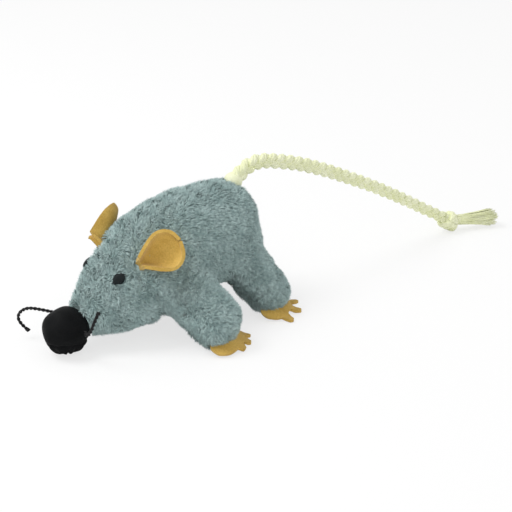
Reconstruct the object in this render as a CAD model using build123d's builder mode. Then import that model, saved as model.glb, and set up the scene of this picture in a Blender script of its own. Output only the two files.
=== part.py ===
"""Stuffed plush mouse with felt ears and paws, a black nose and a braided tail.

Millimetres, +Z up. The mouse faces -Y and its left side is +X. The origin is on the floor, under
the middle of the animal without its tail. "Back" is a distance from the nose towards the rump.
"""
from build123d import *
import os
from math import cos, radians, sin, tan

# Body
body_length = 129.04      # nose front to hind toes
cloth = 1.2               # plush backing cloth
fill_gap = 0.15           # between a cover and its filling
joint_gap = 0.5           # between pieces that move against each other
neck_back = 47.5          # the neck seam, at neck_height
neck_height = 25.0
neck_slope = 10.0         # degrees that the neck seam leans forward at its top
belly_height = 24.0       # the belly panel is below this

# Body sections: back, bottom, top, half width, height of the widest level
sections = [
    (20, 7, 27, 9.5, 15),
    (26, 5.5, 34, 14.5, 17),
    (33, 4.5, 42, 19, 19),
    (42, 4.5, 51, 23.5, 21),
    (53, 6, 58.5, 26.5, 24),
    (68, 10, 63.5, 28, 28),
    (86, 16, 65.5, 28, 32),
    (103, 16, 66, 27, 32),
    (115, 15, 64.5, 23, 30),
    (122, 17, 59, 16.5, 30),
    (126, 23, 48, 8, 33),
]

# Legs on the left: hip pivot and foot ball as (x, back, height), and their radii
legs = {
    "front": ((18, 68, 28), (38.5, 72, 12), 14.0, 14.0),
    "hind": ((16, 106, 30), (27, 116, 11.3), 13.5, 11.5),
}
leg_swing = 12.0          # degrees each way

# Felt paws: each hinges beside its foot ball and lies nearly flat
felt = 1.6
paw_length = 9.0
paw_width = 18.0
paw_toe_radius = 2.6
paw_hinge_height = 2.6
paw_drop = 5.0            # degrees that a paw slopes down to its toes
paw_reach = {"front": 11.8, "hind": 9.1}      # from the foot ball's centre to the hinge
paw_heading = {"front": 8.0, "hind": 16.0}   # degrees from +X towards +Y

# Nose, its thread, and the eyes
nose_radius = 11.9
nose_cloth = 0.8
thread_radius = 0.5
eye_centre = (13.5, 34.7, 37.0)
eye_radius = 3.0
eye_depth = 1.2
eye_facing = (0.80, -0.35, 0.48)

# Ears: a felt cup on a rolled root
ear_root = (20.4, 44.4, 46.2)
ear_root_line = (0.637, 0.118, -0.764)
ear_facing = (0.697, -0.517, 0.501)
ear_half_width = 12.5
ear_height = 21.0
ear_bowl_radius = 19.0
ear_bowl_lift = 15.8      # the bowl's centre in front of the root
ear_root_length = 9.0
ear_root_radius = 1.2

# Tail: a ball in a socket on the rump, a braid, its knot and its tuft
tail_pivot = (0, 116.0, 63.2)
tail_ball_radius = 4.8
braid_radius = 4.0
braid_route = [
    (0, 124.5, 69.6), (0.2, 134.3, 70.4), (0.9, 146.2, 67.4), (2, 158.6, 63.6), (3, 171.0, 58.6),
    (4, 183.6, 52.8), (5, 196.2, 46.6), (6, 209.0, 40.2), (7.2, 222.0, 33.0), (8.5, 235.2, 25.4),
    (10.3, 248.0, 17.6), (12, 259.0, 11.2), (13.6, 266.4, 6.6),
]
knot_radius = 6.4
tuft_route = ((13.6, 266.6, 6.8), (22.0, 293.5, 5.7))
tuft_radii = (3.4, 5.4)

# Whiskers: short looped cords that start behind the nose
whisker_radius = 0.8
whisker_routes = {
    "right": [(-13.4, 13.5, 16), (-18.5, 8.5, 17.4), (-24, 4.6, 17.2), (-28, 2.2, 13.2),
              (-28.2, 2.6, 8.2), (-25.4, 5.6, 4.4)],
    "left": [(13.0, 14.5, 15.2), (17.4, 12.0, 14.4), (20.6, 13.0, 18.6), (21.8, 14.2, 23.6),
             (22.8, 16.0, 27.8)],
}
run_share = 0.45          # of the shorter run, taken by the arc at a route's corner

large = 500.0             # larger than the model, for cutting blocks


def place(point):
    """A (x, back, height) point in the model's frame."""
    return Vector(point[0], point[1] - body_length / 2, point[2])


def on_side(point, side):
    """A left-hand point or direction, or its mirror image for side -1."""
    return (side * point[0], point[1], point[2])


def body_solid(inset):
    """The body from snout to rump, with every section smaller by inset."""
    with BuildPart() as solid:
        for number, (back, bottom, top, half_width, level) in enumerate(sections):
            end_shift = {0: inset, len(sections) - 1: -inset}.get(number, 0)
            with BuildSketch(Plane.XZ.offset(body_length / 2 - back - end_shift)):
                with BuildLine():
                    EllipticalCenterArc((0, level), half_width - inset, top - inset - level,
                                        start_angle=0, arc_size=180)
                    EllipticalCenterArc((0, level), half_width - inset, level - bottom - inset,
                                        start_angle=180, arc_size=180)
                make_face()
        loft()
    return solid.part


def leg_solid(leg, side, grow=0.0, swing=0.0):
    """Hip ball, cone and foot ball, grown by grow, with room to swing by swing degrees."""
    hip, foot = place(on_side(leg[0], side)), place(on_side(leg[1], side))
    long = (foot - hip).length
    hip_radius = leg[2] + grow
    foot_radius = leg[3] + grow + long * tan(radians(swing))
    lean = (hip_radius - foot_radius) / long
    edge = (1 - lean**2) ** 0.5
    hip_top, hip_edge = (0, -hip_radius), (hip_radius * edge, hip_radius * lean)
    foot_edge, foot_tip = (foot_radius * edge, long + foot_radius * lean), (0, long + foot_radius)
    with BuildPart() as solid:
        with BuildSketch(Plane.XZ):
            with BuildLine():
                ThreePointArc(hip_top, arc_middle((0, 0), hip_radius, hip_top, hip_edge), hip_edge)
                Line(hip_edge, foot_edge)
                ThreePointArc(foot_edge, arc_middle((0, long), foot_radius, foot_edge, foot_tip),
                              foot_tip)
                Line(foot_tip, hip_top)
            make_face()
        revolve(axis=Axis.Z)
    return Plane(origin=hip, z_dir=foot - hip) * solid.part


def arc_middle(centre, radius, start, end):
    """The point half-way along the arc from start to end about centre."""
    start_vector = Vector(start[0] - centre[0], start[1] - centre[1])
    end_vector = Vector(end[0] - centre[0], end[1] - centre[1])
    middle = (start_vector + end_vector).normalized() * radius
    return (centre[0] + middle.X, centre[1] + middle.Y)


def half_space(plane):
    """Everything on the plane's z_dir side."""
    return plane * Pos(0, 0, large / 2) * Box(large, large, large)


def below(height):
    return half_space(Plane(origin=(0, 0, height), z_dir=(0, 0, -1)))


def disc(facing, centre, radius, depth):
    with BuildPart() as solid:
        with BuildSketch(Plane(origin=centre, z_dir=facing)):
            Circle(radius)
        extrude(amount=depth / 2, both=True)
    return solid.part


def tube(points, radius, title):
    """A tube along straight runs joined by arcs, each as large as its two runs allow."""
    radii = []
    for before, corner, after in zip(points, points[1:], points[2:]):
        into, out = corner - before, after - corner
        turn = into.get_angle(out)
        radii.append(run_share * min(into.length, out.length) / tan(radians(turn / 2)))
    with BuildPart() as solid:
        with BuildLine() as route:
            FilletPolyline(*points, radius=radii)
        with BuildSketch(Plane(origin=points[0], z_dir=points[1] - points[0])):
            Circle(radius)
        sweep()
    length = route.wire().length
    print(title, "radii", [round(value, 1) for value in radii], "length", round(length, 1),
          "volume share", round(solid.part.volume / (3.14159265 * radius**2 * length), 4))
    return solid.part


def paw(end, side):
    """A felt paw: a pad with three toes, and its hinge point."""
    heading = radians(paw_heading[end])
    centre = legs[end][1]
    hinge = (centre[0] + paw_reach[end] * cos(heading), centre[1] + paw_reach[end] * sin(heading),
             paw_hinge_height)
    drop = radians(paw_drop)
    forward = (cos(heading) * cos(drop), sin(heading) * cos(drop), -sin(drop))
    upward = (cos(heading) * sin(drop), sin(heading) * sin(drop), cos(drop))
    plane = Plane(origin=place(on_side(hinge, side)), x_dir=on_side(forward, side),
                  z_dir=on_side(upward, side))
    toe_centre = paw_length - paw_toe_radius
    with BuildPart() as solid:
        with BuildSketch(plane):
            with Locations((toe_centre / 2, 0)):
                Rectangle(toe_centre, paw_width)
            with Locations(*[(toe_centre, (toe - 1) * (paw_width / 2 - paw_toe_radius))
                             for toe in range(3)]):
                Circle(paw_toe_radius)
        extrude(amount=felt / 2, both=True)
    return solid.part


def ear_plane(side):
    return Plane(origin=place(on_side(ear_root, side)), x_dir=on_side(ear_root_line, side),
                 z_dir=on_side(ear_facing, side))


def ear_root_rod(side, grow):
    rod = Rotation(0, 90, 0) * Cylinder(ear_root_radius + grow, ear_root_length + 2 * grow)
    return ear_plane(side) * rod


def ear(side):
    """A petal cut from a felt bowl, joined to its rolled root. The mirrored plane turns y over."""
    petal_side = side
    half = ear_root_length / 2
    with BuildPart() as solid:
        with BuildSketch(Plane.XY.offset(-ear_bowl_radius / 3)):
            with BuildLine():
                root_start, root_end = (-half, 0), (half, 0)
                Line(root_start, root_end)
                Spline(root_end, (ear_half_width, petal_side * ear_height * 0.55),
                       (0, petal_side * ear_height),
                       (-ear_half_width, petal_side * ear_height * 0.55), root_start)
            make_face()
        extrude(amount=ear_bowl_radius * 0.8)
        with Locations((0, petal_side * ear_height / 2, ear_bowl_lift)):
            Sphere(ear_bowl_radius + felt / 2, mode=Mode.INTERSECT)
        with Locations((0, petal_side * ear_height / 2, ear_bowl_lift)):
            Sphere(ear_bowl_radius - felt / 2, mode=Mode.SUBTRACT)
    return ear_plane(side) * solid.part + ear_root_rod(side, 0)


def save(solid, name):
    with BuildPart() as piece:
        add(solid)
    piece.part.label = name
    export_step(piece.part, f"parts/{name}.step")


os.makedirs("parts", exist_ok=True)
sides = {"left": 1, "right": -1}
neck_plane = Plane(origin=place((0, neck_back, neck_height)),
                   z_dir=(0, -cos(radians(neck_slope)), -sin(radians(neck_slope))))
face_block = half_space(neck_plane)
belly_block = below(belly_height)
side_blocks = {name: half_space(Plane(origin=(0, 0, 0), z_dir=(side, 0, 0)))
               for name, side in sides.items()}

# What is let into the body: legs, nose, eyes, ear roots and the tail's ball
nose_centre = place((0, nose_radius, nose_radius))
eyes = {name: disc(on_side(eye_facing, side), place(on_side(eye_centre, side)), eye_radius, eye_depth)
        for name, side in sides.items()}
rooms = [Pos(*nose_centre) * Sphere(nose_radius + fill_gap),
         Pos(*place(tail_pivot)) * Sphere(tail_ball_radius + joint_gap)]
for name, side in sides.items():
    rooms.append(disc(on_side(eye_facing, side), place(on_side(eye_centre, side)),
                      eye_radius + fill_gap, eye_depth + 2 * fill_gap))
    rooms.append(ear_root_rod(side, joint_gap))
    for leg in legs.values():
        rooms.append(leg_solid(leg, side, joint_gap, leg_swing))

cover = body_solid(0) - body_solid(cloth)
filling = body_solid(cloth + fill_gap)
for room in rooms:
    cover = cover - room
    filling = filling - room

face_cover, trunk_cover = cover & face_block, cover - face_block
save(trunk_cover & belly_block, "belly_panel")
save(filling & face_block, "head_stuffing")
save(filling - face_block, "body_stuffing")
for name in sides:
    save(face_cover & side_blocks[name], f"face_side_{name}")
    save((trunk_cover - belly_block) & side_blocks[name], f"body_side_{name}")
    save(eyes[name], f"eye_{name}")

# Nose
nose_core = nose_radius - nose_cloth
save(Pos(*nose_centre) * (Sphere(nose_radius) - Sphere(nose_core)), "nose_cover")
save(Pos(*nose_centre) * Sphere(nose_core - fill_gap), "nose_stuffing")

# Legs, paws, ears and whiskers
for side_name, side in sides.items():
    for end, leg in legs.items():
        name = f"{end}_leg_{side_name}"
        hollow = leg_solid(leg, side, -cloth) - below(cloth)
        save(leg_solid(leg, side) - below(0) - hollow, f"{name}_cover")
        save(leg_solid(leg, side, -cloth - fill_gap) - below(cloth + fill_gap), f"{name}_stuffing")
        save(paw(end, side), f"{end}_paw_{side_name}")
    save(ear(side), f"ear_{side_name}")
    route = [place(point) for point in whisker_routes[side_name]]
    save(tube(route, whisker_radius, f"whisker_{side_name}"), f"whisker_{side_name}")

# Tail
tail_ball = Pos(*place(tail_pivot)) * Sphere(tail_ball_radius)
knot = Pos(*place(braid_route[-1])) * Sphere(knot_radius)
braid = tube([place(point) for point in (tail_pivot, *braid_route)], braid_radius, "braid")
tuft_start, tuft_end = place(tuft_route[0]), place(tuft_route[1])
tuft_length = (tuft_end - tuft_start).length
tuft = Plane(origin=tuft_start, z_dir=tuft_end - tuft_start) * Pos(0, 0, tuft_length / 2) * Cone(
    tuft_radii[0], tuft_radii[1], tuft_length)
save(tail_ball, "tail_anchor")
save(braid - tail_ball - knot, "tail_braid")
save(knot, "tail_knot")
save(tuft - knot, "tail_tuft")
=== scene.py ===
"""The stuffed mouse's looks: plush and pile, felt ears and paws, nose, eyes, whiskers, tail."""
import math

import bpy
import numpy as np
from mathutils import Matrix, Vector


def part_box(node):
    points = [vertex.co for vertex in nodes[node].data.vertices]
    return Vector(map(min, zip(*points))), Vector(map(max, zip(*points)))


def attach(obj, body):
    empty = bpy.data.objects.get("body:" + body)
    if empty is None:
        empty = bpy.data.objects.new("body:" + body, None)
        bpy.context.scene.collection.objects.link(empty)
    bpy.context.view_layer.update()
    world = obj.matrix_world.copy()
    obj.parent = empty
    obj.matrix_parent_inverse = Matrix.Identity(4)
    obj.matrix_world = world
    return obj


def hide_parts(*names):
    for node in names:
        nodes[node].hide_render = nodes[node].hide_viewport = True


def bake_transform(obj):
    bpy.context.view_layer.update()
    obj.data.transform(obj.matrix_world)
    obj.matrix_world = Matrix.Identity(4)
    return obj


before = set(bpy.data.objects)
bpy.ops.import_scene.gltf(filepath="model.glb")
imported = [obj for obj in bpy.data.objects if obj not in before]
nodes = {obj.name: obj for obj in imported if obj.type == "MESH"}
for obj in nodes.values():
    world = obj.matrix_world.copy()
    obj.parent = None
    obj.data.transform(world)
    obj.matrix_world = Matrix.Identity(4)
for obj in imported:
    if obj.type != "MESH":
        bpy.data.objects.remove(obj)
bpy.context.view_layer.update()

MM = 0.001
CLEARANCE = 0.0001              # lowest point of pile and paws above the floor, in m
SIDES = {"left": 1, "right": -1}
NOSE_LOW, NOSE_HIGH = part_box("nose_cover")
NOSE_CENTRE = (NOSE_LOW + NOSE_HIGH) / 2
NOSE_RADIUS = (NOSE_HIGH.z - NOSE_LOW.z) / 2
FRONT_Y = NOSE_LOW.y            # "back" distances are in mm from the nose's front
rng = np.random.default_rng(7)

# Body sections in mm: back, bottom, top, half width, height of the widest level
SECTIONS = np.array([
    (18, 8.5, 24, 8, 15), (20, 7.5, 26, 9.5, 15), (26, 6, 32.5, 14.5, 17),
    (33, 5.5, 41.5, 19, 19), (42, 5, 51, 23.5, 21), (53, 6, 58.5, 26.5, 24), (68, 10, 63.5, 28, 28),
    (86, 16, 65.5, 28, 32), (103, 16, 66, 27, 32), (115, 15, 64.5, 23, 30),
    (122, 17, 59, 16.5, 30), (126, 23, 48, 8, 33),
], float)
# Legs on the left: hip pivot and foot ball as (x, back, height) in mm, and their radii
LEGS = {
    "front": ((18, 68, 28), (38.5, 72, 12), 14.0, 14.0),
    "hind": ((16, 106, 30), (27, 116, 11.3), 13.5, 11.5),
}
EYE_CENTRE, EYE_FACING = (13.5, 34.7, 37.0), Vector((0.80, -0.35, 0.48)).normalized()
EAR_ROOT, EAR_LINE = (17.6, 46.2, 43.8), Vector((0.637, 0.118, -0.764)).normalized()
EAR_FACING = Vector((0.697, -0.517, 0.501)).normalized()
BRAID_ROUTE = [
    (0, 116.0, 63.2), (0, 124.5, 69.6), (0.2, 134.3, 70.4), (0.9, 146.2, 67.4), (2, 158.6, 63.6),
    (3, 171.0, 58.6), (4, 183.6, 52.8), (5, 196.2, 46.6), (6, 209.0, 40.2), (7.2, 222.0, 33.0),
    (8.5, 235.2, 25.4), (10.3, 248.0, 17.6), (12, 259.0, 11.2), (13.6, 266.4, 6.6),
]
WHISKER_ROUTES = {
    "right": [(-13.4, 13.5, 16), (-18.5, 8.5, 17.4), (-24, 4.6, 17.2), (-28, 2.2, 13.2),
              (-28.2, 2.6, 8.2), (-25.4, 5.6, 4.4)],
    "left": [(13.0, 14.5, 15.2), (17.4, 12.0, 14.4), (20.6, 13.0, 18.6), (21.8, 14.2, 23.6),
             (22.8, 16.0, 27.8)],
}


def place(point, side=1):
    """An (x, back, height) point in mm, in the frame's metres; side -1 mirrors it."""
    return Vector((side * point[0] * MM, FRONT_Y + point[1] * MM, point[2] * MM))


def on_side(vector, side):
    """The vector, or its mirror image for side -1."""
    return Vector((side * vector[0], vector[1], vector[2]))


# ---------------------------------------------------------------- stage, light and camera

AMBIENT = 0.72          # strength of the soft light from all round
FLOOR_GLOW = 0.7        # how far the floor turns plain white to the camera; the rest shows shadow
LAMPS = (               # name, place in m, width in m, power in W
    ("key", (-0.35, -0.45, 0.95), 0.5, 6.0),
    ("fill", (0.9, -0.6, 0.5), 0.8, 1.0),
)


def make_world():
    """Soft light from all round, under a background that the camera and gloss see as white."""
    world = bpy.data.worlds.new("studio")
    bpy.context.scene.world = world
    world.use_nodes = True
    tree = world.node_tree
    tree.nodes.clear()
    output = tree.nodes.new("ShaderNodeOutputWorld")
    mix = tree.nodes.new("ShaderNodeMixShader")
    path = tree.nodes.new("ShaderNodeLightPath")
    either = tree.nodes.new("ShaderNodeMath")
    either.operation = "MAXIMUM"
    lit, shown = tree.nodes.new("ShaderNodeBackground"), tree.nodes.new("ShaderNodeBackground")
    for background in (lit, shown):
        background.inputs["Color"].default_value = (1, 1, 1, 1)
    lit.inputs["Strength"].default_value = AMBIENT
    tree.links.new(path.outputs["Is Camera Ray"], either.inputs[0])
    tree.links.new(path.outputs["Is Glossy Ray"], either.inputs[1])
    tree.links.new(either.outputs[0], mix.inputs[0])
    tree.links.new(lit.outputs[0], mix.inputs[1])
    tree.links.new(shown.outputs[0], mix.inputs[2])
    tree.links.new(mix.outputs[0], output.inputs[0])


def make_floor():
    """A pale floor just under the object, which keeps the object's shadow."""
    bpy.ops.mesh.primitive_plane_add(size=6, location=(0, 0, -0.0002))
    floor = bpy.context.object
    floor.name = "floor"
    material = bpy.data.materials.new("floor_white")
    material.use_nodes = True
    tree = material.node_tree
    shader = tree.nodes["Principled BSDF"]
    shader.inputs["Base Color"].default_value = (0.92, 0.92, 0.92, 1)
    shader.inputs["Roughness"].default_value = 0.9
    glow = tree.nodes.new("ShaderNodeEmission")
    glow.inputs["Color"].default_value = (1, 1, 1, 1)
    path = tree.nodes.new("ShaderNodeLightPath")
    share = tree.nodes.new("ShaderNodeMath")
    share.operation = "MULTIPLY"
    share.inputs[1].default_value = FLOOR_GLOW
    mix = tree.nodes.new("ShaderNodeMixShader")
    tree.links.new(path.outputs["Is Camera Ray"], share.inputs[0])
    tree.links.new(share.outputs[0], mix.inputs[0])
    tree.links.new(shader.outputs[0], mix.inputs[1])
    tree.links.new(glow.outputs[0], mix.inputs[2])
    tree.links.new(mix.outputs[0], tree.nodes["Material Output"].inputs[0])
    floor.data.materials.append(material)


def make_stage():
    scene = bpy.context.scene
    scene.view_settings.view_transform = "Standard"
    make_world()
    make_floor()
    for name, place_at, size, power in LAMPS:
        light = bpy.data.lights.new(name, "AREA")
        light.size, light.energy = size, power
        lamp = bpy.data.objects.new(name, light)
        lamp.location = place_at
        way = Vector((0, 0, 0.03)) - lamp.location
        lamp.rotation_euler = way.to_track_quat("-Z", "Y").to_euler()
        scene.collection.objects.link(lamp)


def make_camera():
    """A long lens at the mouse's front left, a little above it; azimuth 0 is straight ahead."""
    azimuth, elevation, distance = math.radians(50), math.radians(23.6), 0.711
    target = place((29.7, 106.45, 34.2))
    way = Vector((math.sin(azimuth) * math.cos(elevation), -math.cos(azimuth) * math.cos(elevation),
                  math.sin(elevation)))
    data = bpy.data.cameras.new("camera")
    data.lens, data.sensor_width, data.clip_start = 100, 36, 0.01
    camera = bpy.data.objects.new("camera", data)
    camera.location = target + distance * way
    camera.rotation_euler = (-way).to_track_quat("-Z", "Y").to_euler()
    bpy.context.scene.collection.objects.link(camera)
    bpy.context.scene.camera = camera


# ---------------------------------------------------------------- materials

BUMP_DEPTH = 0.0004


def cloth_material(name, dark, light, spot, bump, bump_scale, roughness=0.95, sheen=0.0,
                   patch_scale=90.0, specular=0.2):
    """Cloth whose colour drifts between two tones, with fine speckles and bump."""
    material = bpy.data.materials.new(name)
    material.use_nodes = True
    tree = material.node_tree
    shader = tree.nodes["Principled BSDF"]
    shader.inputs["Roughness"].default_value = roughness
    shader.inputs["Sheen Weight"].default_value = sheen
    shader.inputs["Sheen Roughness"].default_value = 0.5
    shader.inputs["Specular IOR Level"].default_value = specular
    coordinates = tree.nodes.new("ShaderNodeTexCoord")
    patches = tree.nodes.new("ShaderNodeTexNoise")
    patches.inputs["Scale"].default_value = patch_scale
    patches.inputs["Detail"].default_value = 4
    fine = tree.nodes.new("ShaderNodeTexNoise")
    fine.inputs["Scale"].default_value = bump_scale
    fine.inputs["Detail"].default_value = 6
    ramp = tree.nodes.new("ShaderNodeValToRGB")
    ramp.color_ramp.elements[0].position, ramp.color_ramp.elements[1].position = 0.3, 0.72
    ramp.color_ramp.elements[0].color = (*dark, 1)
    ramp.color_ramp.elements[1].color = (*light, 1)
    speckle = tree.nodes.new("ShaderNodeValToRGB")
    speckle.color_ramp.elements[0].position, speckle.color_ramp.elements[1].position = 0.35, 0.65
    speckle.color_ramp.elements[0].color = (*spot, 1)
    speckle.color_ramp.elements[1].color = (1, 1, 1, 1)
    mix = tree.nodes.new("ShaderNodeMix")
    mix.data_type, mix.blend_type = "RGBA", "MULTIPLY"
    mix.inputs["Factor"].default_value = 1.0
    for noise in (patches, fine):
        tree.links.new(coordinates.outputs["Object"], noise.inputs["Vector"])
    tree.links.new(patches.outputs["Fac"], ramp.inputs[0])
    tree.links.new(fine.outputs["Fac"], speckle.inputs[0])
    tree.links.new(ramp.outputs[0], mix.inputs["A"])
    tree.links.new(speckle.outputs[0], mix.inputs["B"])
    tree.links.new(mix.outputs["Result"], shader.inputs["Base Color"])
    relief = tree.nodes.new("ShaderNodeBump")
    relief.inputs["Strength"].default_value = bump
    relief.inputs["Distance"].default_value = BUMP_DEPTH
    tree.links.new(fine.outputs["Fac"], relief.inputs["Height"])
    tree.links.new(relief.outputs[0], shader.inputs["Normal"])
    return material


# ---------------------------------------------------------------- mesh helpers

def mesh_object(name, points, faces, material=None):
    """A smooth-shaded mesh in the scene."""
    mesh = bpy.data.meshes.new(name)
    mesh.from_pydata([tuple(p) for p in points], [], [tuple(f) for f in faces])
    mesh.update()
    mesh.polygons.foreach_set("use_smooth", [True] * len(mesh.polygons))
    piece = bpy.data.objects.new(name, mesh)
    bpy.context.scene.collection.objects.link(piece)
    if material:
        mesh.materials.append(material)
    return piece


def grid_faces(rows, columns, closed=True):
    """Quads between rows of points; closed joins each row's last point to its first."""
    across = columns if closed else columns - 1
    return [(r * columns + c, r * columns + (c + 1) % columns,
             (r + 1) * columns + (c + 1) % columns, (r + 1) * columns + c)
            for r in range(rows - 1) for c in range(across)]


def mesh_arrays(mesh):
    """A mesh's points and their normals."""
    return (np.array([v.co for v in mesh.vertices]), np.array([v.normal for v in mesh.vertices]))


def move_points(mesh, points):
    mesh.vertices.foreach_set("co", points.ravel())
    mesh.update()


def apply_modifiers(piece):
    """Turns a piece's modifiers into plain mesh."""
    bpy.context.view_layer.update()
    evaluated = piece.evaluated_get(bpy.context.evaluated_depsgraph_get())
    mesh = bpy.data.meshes.new_from_object(evaluated)
    piece.modifiers.clear()
    piece.data = mesh
    mesh.polygons.foreach_set("use_smooth", [True] * len(mesh.polygons))


def tube_data(line, radius_of, sides):
    """Rings of points about a line, and faces with closed ends; radius_of takes 0 to 1."""
    line = np.asarray(line, float)
    ways = np.gradient(line, axis=0)
    ways /= np.linalg.norm(ways, axis=1)[:, None]
    up = np.array((0.0, 0.0, 1.0)) if abs(ways[0][2]) < 0.9 else np.array((1.0, 0.0, 0.0))
    rings = []
    for number, (point, way) in enumerate(zip(line, ways)):
        across = np.cross(way, up)
        across /= np.linalg.norm(across)
        up = np.cross(across, way)
        angles = np.linspace(0, 2 * np.pi, sides, endpoint=False)[:, None]
        radius = radius_of(number / (len(line) - 1))
        rings.append(point + radius * (np.cos(angles) * across + np.sin(angles) * up))
    points = np.concatenate(rings)
    faces = grid_faces(len(line), sides)
    faces.append(tuple(range(sides))[::-1])
    faces.append(tuple(range(len(points) - sides, len(points))))
    return points, faces


def join_data(parts):
    """Several meshes' points and faces as one."""
    points, faces, offset = [], [], 0
    for some_points, some_faces in parts:
        points.append(some_points)
        faces += [tuple(i + offset for i in face) for face in some_faces]
        offset += len(some_points)
    return np.concatenate(points), faces


def curve_points(name, route):
    """Points along the smooth NURBS line that has the route's points as its control points."""
    curve = bpy.data.curves.new(name, "CURVE")
    curve.dimensions, curve.resolution_u = "3D", 24
    spline = curve.splines.new("NURBS")
    spline.points.add(len(route) - 1)
    for point, at in zip(spline.points, route):
        point.co = (*place(at), 1)
    spline.order_u = 3
    spline.use_endpoint_u = True
    holder = bpy.data.objects.new(name, curve)
    bpy.context.scene.collection.objects.link(holder)
    bpy.context.view_layer.update()
    mesh = bpy.data.meshes.new_from_object(holder)
    line = np.array([v.co for v in mesh.vertices])
    bpy.data.objects.remove(holder)
    bpy.data.meshes.remove(mesh)
    return line


def even_points(line, count):
    """Evenly spaced points along a line, and the line's length."""
    steps = np.concatenate([[0], np.cumsum(np.linalg.norm(np.diff(line, axis=0), axis=1))])
    wanted = np.linspace(0, steps[-1], count)
    return np.stack([np.interp(wanted, steps, line[:, i]) for i in range(3)], 1), steps[-1]


def line_frames(line):
    """Directions across and up at each point of a line, turning with it."""
    ways = np.gradient(line, axis=0)
    ways /= np.linalg.norm(ways, axis=1)[:, None]
    across, ups, up = [], [], np.array((0.0, 0.0, 1.0))
    for way in ways:
        side = np.cross(way, up)
        side /= np.linalg.norm(side)
        up = np.cross(side, way)
        across.append(side)
        ups.append(up)
    return np.array(across), np.array(ups)


def around(angle, across, up):
    """Unit vectors at the given angles in the plane of two directions."""
    return np.cos(angle)[:, None] * across + np.sin(angle)[:, None] * up


# ---------------------------------------------------------------- plush body

UNDER_PILE = 1.6        # mm that the cloth lies inside the outline that the pile's tips make
VOXEL = 0.0014
TORSO_ROWS, TORSO_SIDES, LEG_SIDES = 60, 64, 32
BALL_END = 0.999        # how near to its poles a leg's end balls are drawn
SOLE = 0.0006           # height of the feet's flat soles, in m
SEAM_SINK, SEAM_WIDTH = 2.8, 2.2


def section_ring(row):
    """One ring of the torso: half ellipses above and below its widest level."""
    back, bottom, top, half_width, level = row
    angles = np.linspace(0, 2 * np.pi, TORSO_SIDES, endpoint=False)
    lift = np.where(np.sin(angles) > 0, top - level, level - bottom) * np.sin(angles)
    return np.stack([half_width * np.cos(angles) * MM, np.full(TORSO_SIDES, FRONT_Y + back * MM),
                     (level + lift) * MM], 1)


def leg_axis(end, side):
    """A leg's hip and foot, and the radii there, in m."""
    hip, foot, hip_radius, foot_radius = LEGS[end]
    return place(hip, side), place(foot, side), hip_radius * MM, foot_radius * MM


def leg_data(end, side):
    """A leg's mesh: the near half of the hip's ball, then the far half of the foot's."""
    hip, foot, hip_radius, foot_radius = leg_axis(end, side)
    way = (foot - hip).normalized()
    steps = np.linspace(-BALL_END, BALL_END, 9)
    rings = [(hip, hip_radius, s) for s in steps[:4]] + [(foot, foot_radius, s) for s in steps[4:]]
    line = [middle + way * radius * s * BALL_END for middle, radius, s in rings]
    radii = [radius * math.sqrt(1 - (s * BALL_END) ** 2) for _, radius, s in rings]
    return tube_data(line, lambda t: radii[round(t * (len(radii) - 1))], LEG_SIDES)


def body_mesh():
    """Torso rings and legs fused by a voxel remesh, then relaxed into one soft form."""
    backs = np.linspace(SECTIONS[0, 0], SECTIONS[-1, 0], TORSO_ROWS)
    rows = np.stack([np.interp(backs, SECTIONS[:, 0], SECTIONS[:, i]) for i in range(5)], 1)
    points = np.concatenate([section_ring(row) for row in rows])
    faces = grid_faces(TORSO_ROWS, TORSO_SIDES)
    faces += [tuple(range(TORSO_SIDES))[::-1], tuple(range(len(points) - TORSO_SIDES, len(points)))]
    parts = [(points, faces)] + [leg_data(end, side) for side in SIDES.values() for end in LEGS]
    points, faces = join_data(parts)
    body = mesh_object("plush_source", points, faces)
    remesh = body.modifiers.new("voxels", "REMESH")
    remesh.mode, remesh.voxel_size = "VOXEL", VOXEL
    smooth = body.modifiers.new("soft", "SMOOTH")
    smooth.factor, smooth.iterations = 0.6, 14
    apply_modifiers(body)
    soften(body)
    return body


def neck_distance(points):
    """Distance in mm behind the neck seam, which runs up and forward from the chest, then back."""
    back, height = (points[:, 1] - FRONT_Y) / MM, points[:, 2] / MM
    return back - np.where(height < 40, 47.8 - (height - 25) * 0.6, 38.8 + (height - 40) * 0.45)


def soften(body):
    """Stuffing lumps, a sunk neck seam, a seam along the back, and flat soles on the floor."""
    points, normals = mesh_arrays(body.data)
    back = (points[:, 1] - FRONT_Y) / MM
    x, z = points[:, 0] / MM, points[:, 2] / MM
    lumps = (np.sin(x * 0.21 + 1.3) * np.sin(back * 0.17 + 0.4) * np.sin(z * 0.19)
             + 0.6 * np.sin(x * 0.4 + back * 0.33) * np.sin(z * 0.37 + 1.0))
    sunk = SEAM_SINK * np.exp(-(neck_distance(points) / SEAM_WIDTH) ** 2)
    sunk *= np.clip((np.abs(x) - 4) / 6, 0, 1)
    back_seam = 0.35 * np.exp(-(x / 1.4) ** 2) * (z > 30)
    points += normals * ((0.55 * lumps - sunk - back_seam - UNDER_PILE) * MM)[:, None]
    low = points[:, 2] < SOLE
    points[low, 2] = SOLE + (points[low, 2] - SOLE) * 0.02
    move_points(body.data, points)


def leg_share(points, end, side):
    """How far each point is along a leg, from 0 at the hip to 1 at the foot, and its distance."""
    hip, foot, _, _ = leg_axis(end, side)
    hip, along = np.array(hip), np.array(foot - hip)
    share = ((points - hip) @ along) / (along @ along)
    nearest = hip + np.clip(share, 0, 1)[:, None] * along
    return share, np.linalg.norm(points - nearest, axis=1)


LEG_START, LEG_END = 0.42, 0.95     # shares of a leg's length; its skin starts at the first
LEG_MARGIN = 0.0026                 # how far a leg's skin may lie outside its ball, in m


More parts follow.
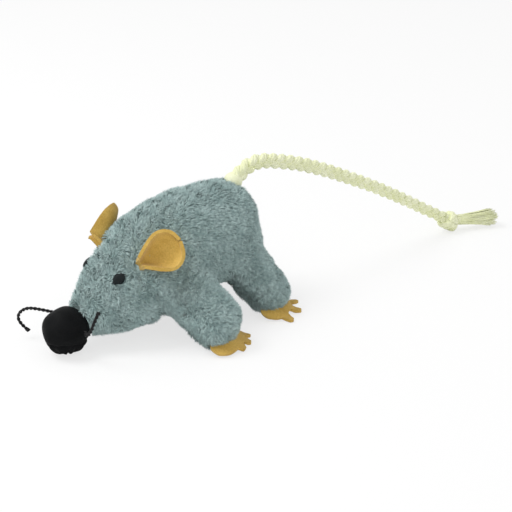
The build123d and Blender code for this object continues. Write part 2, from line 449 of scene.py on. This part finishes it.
def split_body(body, material):
    """Torso skin and four leg skins, cut from the one body mesh."""
    points, _ = mesh_arrays(body.data)
    faces = [tuple(p.vertices) for p in body.data.polygons]
    middles = np.array([p.center for p in body.data.polygons])
    owner = np.full(len(faces), -1)
    names = [(end, side_name) for side_name in SIDES for end in LEGS]
    for number, (end, side_name) in enumerate(names):
        share, distance = leg_share(middles, end, SIDES[side_name])
        radius = max(LEGS[end][2:]) * MM + LEG_MARGIN
        owner[(share > LEG_START) & (distance < radius)] = number
    bpy.data.objects.remove(body)
    skins = {}
    for number in range(-1, len(names)):
        chosen = [faces[i] for i in np.nonzero(owner == number)[0]]
        used = sorted({v for face in chosen for v in face})
        renamed = {v: i for i, v in enumerate(used)}
        name = "plush_torso" if number < 0 else "plush_{}_leg_{}".format(*names[number])
        skins[name] = mesh_object(name, points[used], [[renamed[v] for v in f] for f in chosen],
                                  material)
    return skins


PILE, BLADE_WIDTH, ROOT_DEPTH = 0.0032, 0.00026, 0.0003      # in m
TORSO_BLADES, LEG_BLADES = 62000, 15000
BARE_EYE, BARE_EAR, BARE_NOSE, BARE_FLOOR = 0.0034, 0.0050, 0.0004, 0.0022      # in m
BARE_SEAM = 0.7         # mm on each side of the neck seam


def pile_keep(points):
    """No pile grows on the eyes, against the nose, under the ears' roots or in the neck seam."""
    bare = [(NOSE_CENTRE, NOSE_RADIUS + BARE_NOSE)]
    for side in SIDES.values():
        bare += [(place(EYE_CENTRE, side), BARE_EYE), (place(EAR_ROOT, side), BARE_EAR)]
    seam = (np.abs(neck_distance(points)) < BARE_SEAM) & (np.abs(points[:, 0]) > 0.006)
    keep = ~seam & (points[:, 2] > BARE_FLOOR)
    for centre, radius in bare:
        keep &= np.linalg.norm(points - np.array(centre), axis=1) > radius
    return keep


def grow_pile(name, skin, count, material):
    """Short curved blades of pile, lying back and down in drifting clumps."""
    mesh = skin.data
    mesh.calc_loop_triangles()
    corners = np.array([t.vertices for t in mesh.loop_triangles])
    points, normals = mesh_arrays(mesh)
    a, b, c = (points[corners[:, i]] for i in range(3))
    areas = np.linalg.norm(np.cross(b - a, c - a), axis=1)
    chosen = rng.choice(len(corners), count, p=areas / areas.sum())
    u, v = rng.random(count), rng.random(count)
    over = u + v > 1
    u[over], v[over] = 1 - u[over], 1 - v[over]
    root = a[chosen] + u[:, None] * (b - a)[chosen] + v[:, None] * (c - a)[chosen]
    normal = sum(normals[corners[chosen, i]] for i in range(3))
    normal /= np.linalg.norm(normal, axis=1)[:, None]
    keep = pile_keep(root)
    root, normal = root[keep], normal[keep]
    count = len(root)
    q = root / MM
    drift = np.stack([np.sin(q[:, 1] * 0.55 + q[:, 2] * 0.4) + np.sin(q[:, 2] * 1.3 + q[:, 0]),
                      np.cos(q[:, 0] * 0.6 + q[:, 2] * 0.5) + np.sin(q[:, 0] * 1.4 + q[:, 1] * 0.9),
                      np.sin(q[:, 0] * 0.5 - q[:, 1] * 0.6) + np.cos(q[:, 1] * 1.2 - q[:, 2])], 1)
    lie = np.array((0.0, 1.0, -0.55)) + 0.6 * drift + 0.4 * rng.normal(size=(count, 3))
    lie -= np.sum(lie * normal, 1)[:, None] * normal
    lie /= np.linalg.norm(lie, axis=1)[:, None] + 1e-9
    length = PILE * rng.uniform(0.65, 1.2, count)[:, None]
    across = np.cross(normal, lie)
    width = (BLADE_WIDTH * rng.uniform(0.7, 1.3, count))[:, None]
    start = root - normal * ROOT_DEPTH
    middle = start + length * (0.55 * normal + 0.30 * lie)
    tip = start + length * (0.80 * normal + 0.85 * lie)
    blade = np.stack([start - across * width, start + across * width,
                      middle + across * width * 0.8, middle - across * width * 0.8, tip], 1)
    blade[..., 2] = np.maximum(blade[..., 2], CLEARANCE)
    base = np.arange(count) * 5
    quads = np.stack([base, base + 1, base + 2, base + 3], 1)
    triangles = np.stack([base + 3, base + 2, base + 4], 1)
    return mesh_object(name, blade.reshape(-1, 3), quads.tolist() + triangles.tolist(), material)


def make_plush():
    """The torso's skin and pile, and the legs', which reach from the torso to the feet."""
    material = cloth_material("plush", (0.36, 0.49, 0.475), (0.56, 0.70, 0.68),
                              (0.60, 0.63, 0.65), sheen=0.25, bump=0.6, bump_scale=700,
                              patch_scale=130)
    skins = split_body(body_mesh(), material)
    torso_nodes = ["face_side_left", "face_side_right", "body_side_left", "body_side_right",
                   "belly_panel", "body_stuffing", "head_stuffing"]
    for name, skin in skins.items():
        leg_name = name.removeprefix("plush_")
        torso = leg_name == "torso"
        pile = grow_pile(name + "_pile", skin, TORSO_BLADES if torso else LEG_BLADES, material)
        for piece in (skin, pile):
            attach(piece, "torso" if torso else leg_name)
        if torso:
            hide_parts(*torso_nodes)
            continue
        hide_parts(leg_name + "_cover", leg_name + "_stuffing")
        for piece in (skin, pile):
            piece.parent = None
            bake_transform(piece)


# ---------------------------------------------------------------- felt

EAR_FELT, PAW_FELT = 0.0017, 0.0015     # thickness in m
FELT_FUZZ = 0.00005


def felt_material():
    return cloth_material("felt", (0.60, 0.385, 0.085), (0.74, 0.50, 0.13), (0.80, 0.77, 0.70),
                          sheen=0.2, bump=0.7, bump_scale=1900, patch_scale=160)


def thicken(piece, thickness):
    """A sheet of felt with rounded edges and a slightly rough surface."""
    solid = piece.modifiers.new("thick", "SOLIDIFY")
    solid.thickness, solid.offset = thickness, 0
    bevel = piece.modifiers.new("edge", "BEVEL")
    bevel.width, bevel.segments, bevel.limit_method = thickness * 0.3, 2, "ANGLE"
    smooth = piece.modifiers.new("smooth", "SUBSURF")
    smooth.levels = smooth.render_levels = 1
    apply_modifiers(piece)
    points, normals = mesh_arrays(piece.data)
    points += normals * rng.normal(scale=FELT_FUZZ, size=(len(points), 1))
    move_points(piece.data, points)


EAR_HEIGHT, STEM_DEPTH = 21.0, 4.0      # mm above its root, and mm that its root goes in


def make_ear(side_name, material):
    """A felt petal pinched to a fold at its root, with its rim curling forward."""
    side = SIDES[side_name]
    root = place(EAR_ROOT, side)
    line, facing = on_side(EAR_LINE, side), on_side(EAR_FACING, side)
    rise = on_side(EAR_FACING.cross(EAR_LINE), side)
    rows, stem_rows, columns = 22, 5, 27
    points = []
    for r in range(-stem_rows, rows):
        t = max(0.0, r / (rows - 1))
        stem = max(0.0, -r / stem_rows)
        half = 3.4 + 9.4 * math.sin(min(1.0, t * 1.45) * math.pi / 2) ** 1.1
        half *= math.sqrt(max(0.0, 1 - max(0.0, (t - 0.5) / 0.5) ** 2.6)) * 0.96 + 0.04
        for c in range(columns):
            u = 2 * c / (columns - 1) - 1
            cup = 5.6 * u * u * (1 - 0.3 * t) * (0.45 + 0.55 * half / 12.5)
            fold = 3.0 * (1 - t) ** 2 * u * u
            rim = 3.4 * max(0.0, -u - 0.25) ** 1.5 * math.sin(math.pi * min(1.0, t + 0.1))
            back_curl = 3.0 * (t ** 2) - 1.2 * math.sin(math.pi * t)
            x = half * (u * (1 - 0.14 * u * u) + 0.30 * max(0.0, -u - 0.3) ** 1.4)
            y = EAR_HEIGHT * t - 0.8 - 2.0 * stem
            z = (cup + fold + rim) * (1 - 0.7 * stem) + back_curl - STEM_DEPTH * stem
            points.append(root + (line * x + rise * y + facing * z) * MM)
    ear = mesh_object(f"felt_ear_{side_name}", points,
                      grid_faces(rows + stem_rows, columns, closed=False), material)
    thicken(ear, EAR_FELT)
    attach(ear, f"ear_{side_name}")
    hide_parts(f"ear_{side_name}")


# Toes as (direction in degrees from +X to +Y about the foot, reach in mm), and the pad's span
TOES = {"front": ((22, 17.4), (48, 18.4), (74, 19.6)), "hind": ((4, 18.0), (44, 17.8), (82, 19.0))}
PAW_SPAN = {"front": (-46, 86), "hind": (-58, 97)}
PAW_EDGE_COLUMNS = 9        # over which the pad's two ends round off


def make_paw(end, side_name, material):
    """A felt skirt that comes out from under the leg and slopes to the floor in three toes."""
    side = SIDES[side_name]
    foot, foot_radius = LEGS[end][1], LEGS[end][3]
    rows, columns = 9, 76
    inner, pad = foot_radius - 3.0, foot_radius + 1.0
    low, high = PAW_SPAN[end]
    points = []
    for r in range(rows):
        for c in range(columns):
            turn = low + (high - low) * c / (columns - 1)
            reach = pad + 1.5 * math.exp(-((turn + 12) / 24) ** 2)
            reach += sum((toe - pad) * math.exp(-((turn - at) / 7.5) ** 4) for at, toe in TOES[end])
            ends = min(1.0, c / PAW_EDGE_COLUMNS, (columns - 1 - c) / PAW_EDGE_COLUMNS) ** 0.6
            reach = inner + (reach - inner) * (0.35 + 0.65 * ends)
            distance = inner + (reach - inner) * r / (rows - 1)
            slope = min(1.0, max(0.0, (distance - inner) / (pad + 2.2 - inner)))
            height = 5.0 - 4.1 * slope ** 0.9
            angle = math.radians(turn)
            points.append(place((foot[0] + distance * math.cos(angle),
                                 foot[1] + distance * math.sin(angle), height), side))
    paw = mesh_object(f"felt_{end}_paw_{side_name}", points,
                      grid_faces(rows, columns, closed=False), material)
    thicken(paw, PAW_FELT)
    points, _ = mesh_arrays(paw.data)
    points[:, 2] = np.maximum(points[:, 2], CLEARANCE)
    move_points(paw.data, points)
    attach(paw, f"{end}_paw_{side_name}")
    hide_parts(f"{end}_paw_{side_name}")


# ---------------------------------------------------------------- face

NOSE_FACET = Vector((0.82, -0.3, -0.48))


def make_nose():
    """A black nose with a fold across its lower third, gathers below it and one flatter spot."""
    material = cloth_material("nose_cloth", (0.0035, 0.004, 0.0045), (0.007, 0.0075, 0.008),
                              (0.7, 0.7, 0.7), roughness=0.62, specular=0.07, bump=0.25,
                              bump_scale=2500, patch_scale=200)
    rows, columns = 90, 160
    points = []
    for r in range(rows):
        polar = math.pi * r / (rows - 1)
        for c in range(columns):
            turn = 2 * math.pi * c / columns
            way = Vector((math.sin(polar) * math.cos(turn), math.sin(polar) * math.sin(turn),
                          math.cos(polar)))
            level = way.z + 0.34 + 0.10 * way.x
            fold = 0.9 * math.exp(-(level / 0.07) ** 2)
            below = 1 / (1 + math.exp(level * 22))
            gathers = below * (0.42 * math.sin(turn * 11 + 3 * way.z) + 0.3 * math.sin(turn * 17))
            bulge = 0.35 * math.sin(way.x * 5 + 1) * math.sin(way.y * 4 + way.z * 3)
            facet = 0.9 * max(0.0, way.dot(NOSE_FACET) - 0.86) / 0.14
            radius = NOSE_RADIUS / MM - 0.45 + bulge - fold + gathers * 0.6 - facet * 1.1
            points.append(NOSE_CENTRE + way * radius * MM)
    nose = mesh_object("nose_skin", points, grid_faces(rows, columns), material)
    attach(nose, "torso")
    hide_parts("nose_cover", "nose_stuffing")


STRAND_SIDES = 8
EYE_LENGTHWAYS, EYE_THREADS, EYE_THREAD_RADIUS = Vector((0, -1, -0.25)), 13, 0.00034
EYE_SUNK = 0.9          # mm that the eye's rim lies under the centre point


def make_eye(side_name, material):
    """An almond of satin stitches: raised threads side by side."""
    side = SIDES[side_name]
    centre, facing = place(EYE_CENTRE, side), on_side(EYE_FACING, side)
    along = (EYE_LENGTHWAYS - facing * facing.dot(EYE_LENGTHWAYS)).normalized()
    across = facing.cross(along)
    parts = []
    for number in range(EYE_THREADS):
        t = 2 * number / (EYE_THREADS - 1) - 1
        half = 2.5 * math.sqrt(max(0.02, 1 - abs(t) ** 1.7))
        line = []
        for s in np.linspace(-1, 1, 9):
            lift = 1.5 * (1 - s ** 4) * math.sqrt(max(0.1, 1 - t * t * 0.8)) - EYE_SUNK
            line.append(centre + (along * (t * 3.3 + 0.25 * s) + across * s * half
                                  + facing * lift) * MM)
        parts.append(tube_data(line, lambda _: EYE_THREAD_RADIUS, STRAND_SIDES))
    points, faces = join_data(parts)
    eye = mesh_object(f"stitched_eye_{side_name}", points, faces, material)
    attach(eye, "torso")
    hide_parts(f"eye_{side_name}")


WHISKER_TWIST, WHISKER_OFFSET, WHISKER_STRAND = 0.0042, 0.00042, 0.00046     # in m


def make_whisker(side_name, material):
    """Two strands of cord twisted about the route, with a small knot at the free end."""
    line, length = even_points(curve_points(f"whisker_line_{side_name}",
                                            WHISKER_ROUTES[side_name]), 120)
    across, up = line_frames(line)
    turns = length / WHISKER_TWIST
    parts = []
    for strand in range(2):
        angle = 2 * np.pi * turns * np.linspace(0, 1, len(line)) + strand * np.pi
        parts.append(tube_data(line + WHISKER_OFFSET * around(angle, across, up),
                               lambda _: WHISKER_STRAND, STRAND_SIDES))
    turn = np.linspace(0, 4 * np.pi, 40)
    knot = line[-1] + 0.0006 * around(turn, across[-1], up[-1])
    knot += np.linspace(-0.0007, 0.0007, 40)[:, None] * np.cross(up[-1], across[-1])
    parts.append(tube_data(knot, lambda _: 0.0005, STRAND_SIDES))
    points, faces = join_data(parts)
    whisker = mesh_object(f"twisted_whisker_{side_name}", points, faces, material)
    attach(whisker, f"whisker_{side_name}")
    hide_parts(f"whisker_{side_name}")


# ---------------------------------------------------------------- tail

BRAID_REPEAT, YARN_TWIST = 0.0175, 0.011    # m along the tail for one turn of each
STRAND_WIDE, STRAND_DEEP = 2.15 * MM, 1.15 * MM
YARNS, YARN_OFFSET, YARN_RADIUS = 5, 0.00115, 0.00104


def braid_taper(t):
    """The braid gets a little thinner towards its end."""
    return 1.0 - 0.2 * t


def make_tail():
    """A braid of three strands of yarn along the route, with its knot and tuft."""
    material = cloth_material("tail_cotton", (0.84, 0.87, 0.56), (0.93, 0.95, 0.72),
                              (0.93, 0.93, 0.88), sheen=0.1, bump=0.8, bump_scale=1500,
                              patch_scale=120)
    line, length = even_points(curve_points("tail_line", BRAID_ROUTE), 640)
    across, up = line_frames(line)
    share = np.linspace(0, 1, len(line))
    taper = braid_taper(share)[:, None]
    phase = 2 * np.pi * length / BRAID_REPEAT * share
    parts = []
    for strand in range(3):
        angle = phase + strand * 2 * np.pi / 3
        wide, deep = STRAND_WIDE * np.sin(angle), STRAND_DEEP * np.sin(2 * angle)
        middle = line + wide[:, None] * taper * up + deep[:, None] * across
        middle_across, middle_up = line_frames(middle)
        for yarn in range(YARNS):
            turn = yarn * 2 * np.pi / YARNS + share * length / YARN_TWIST * 2 * np.pi
            ring = YARN_OFFSET * around(turn, middle_across, middle_up)
            parts.append(tube_data(middle + ring * taper, lambda t: YARN_RADIUS * braid_taper(t),
                                   STRAND_SIDES))
    points, faces = join_data(parts)
    braid = mesh_object("tail_braid_strands", points, faces, material)
    knot = make_knot(line, material)
    tuft = make_tuft(material)
    for piece, replaced in ((braid, "tail_braid"), (knot, "tail_knot"), (tuft, "tail_tuft")):
        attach(piece, "tail")
        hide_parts(replaced)
    nodes["tail_anchor"].data.materials.clear()
    nodes["tail_anchor"].data.materials.append(material)


KNOT_LOOPS = ((0.5, -1.9), (-0.55, 1.9), (0.1, 0.1))     # tilt, and mm along the tail
KNOT_YARN_RADIUS = 0.00105
TAIL_CLEARANCE = 0.0002         # lowest point of the knot and tuft above the floor, in m


def make_knot(line, material):
    """An overhand knot of thick strands wound round the end of the braid."""
    low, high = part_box("tail_knot")
    centre = np.array((low + high) / 2)
    way = line[-1] - line[-12]
    way /= np.linalg.norm(way)
    side = np.cross(way, (0, 0, 1.0))
    side /= np.linalg.norm(side)
    up = np.cross(side, way)
    parts = []
    for tilt, shift in KNOT_LOOPS:
        turn = np.linspace(0, 2 * np.pi, 40)
        for yarn in range(4):
            wind = yarn * np.pi / 2 + turn * 2
            reach = (3.9 + 0.75 * np.cos(wind)) * MM
            along = (shift + tilt * 3.4 * np.sin(turn) + 0.9 * np.sin(wind)) * MM
            ring = centre + reach[:, None] * around(turn, side, up) + along[:, None] * way
            parts.append(tube_data(ring, lambda _: KNOT_YARN_RADIUS, STRAND_SIDES))
    core = [centre + way * d * MM for d in np.linspace(-4.5, 5.0, 9)]
    parts.append(tube_data(core, lambda _: 0.0032, 14))
    points, faces = join_data(parts)
    points[:, 2] = np.maximum(points[:, 2], TAIL_CLEARANCE)
    return mesh_object("tail_knot_strands", points, faces, material)


TUFT_THREADS, TUFT_THREAD_RADIUS = 300, 0.00030


def make_tuft(material):
    """Loose yarn ends that fan out behind the knot."""
    low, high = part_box("tail_tuft")
    knot_low, knot_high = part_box("tail_knot")
    start = np.array((knot_low + knot_high) / 2)
    end = np.array(((low.x + high.x) / 2 + 0.0055, high.y - 0.001, (low.z + high.z) / 2 - 0.0004))
    way = end - start
    length = np.linalg.norm(way)
    way /= length
    side = np.cross(way, (0, 0, 1.0))
    side /= np.linalg.norm(side)
    up = np.cross(side, way)
    parts = []
    for _ in range(TUFT_THREADS):
        turn, spread = rng.uniform(0, 2 * np.pi), math.sqrt(rng.random())
        reach = rng.uniform(0.82, 1.0) * length
        wave = rng.uniform(0, 2 * np.pi)
        line = []
        for t in np.linspace(0.1, 1, 9):
            radius = (2.4 + 2.6 * t ** 1.6) * spread * MM
            wobble = 0.35 * MM * math.sin(wave + 5 * t)
            point = start + way * reach * t + side * (radius * math.cos(turn) + wobble)
            line.append(point + up * (radius * math.sin(turn) + wobble))
        parts.append(tube_data(line, lambda t: TUFT_THREAD_RADIUS * (1.1 - 0.5 * t), 5))
    points, faces = join_data(parts)
    points[:, 2] = np.maximum(points[:, 2], TAIL_CLEARANCE)
    return mesh_object("tail_tuft_strands", points, faces, material)


make_camera()
make_tail()
make_stage()
make_plush()
felt = felt_material()
thread = cloth_material("eye_thread", (0.008, 0.012, 0.013), (0.016, 0.022, 0.024), (0.8, 0.8, 0.8),
                        roughness=0.45, bump=0.3, bump_scale=2500)
cord_black = cloth_material("whisker_cord", (0.009, 0.009, 0.010), (0.018, 0.018, 0.019),
                            (0.8, 0.8, 0.8), roughness=0.6, bump=0.4, bump_scale=2500)
make_nose()
for side_name in SIDES:
    make_ear(side_name, felt)
    make_eye(side_name, thread)
    make_whisker(side_name, cord_black)
    for end in LEGS:
        make_paw(end, side_name, felt)
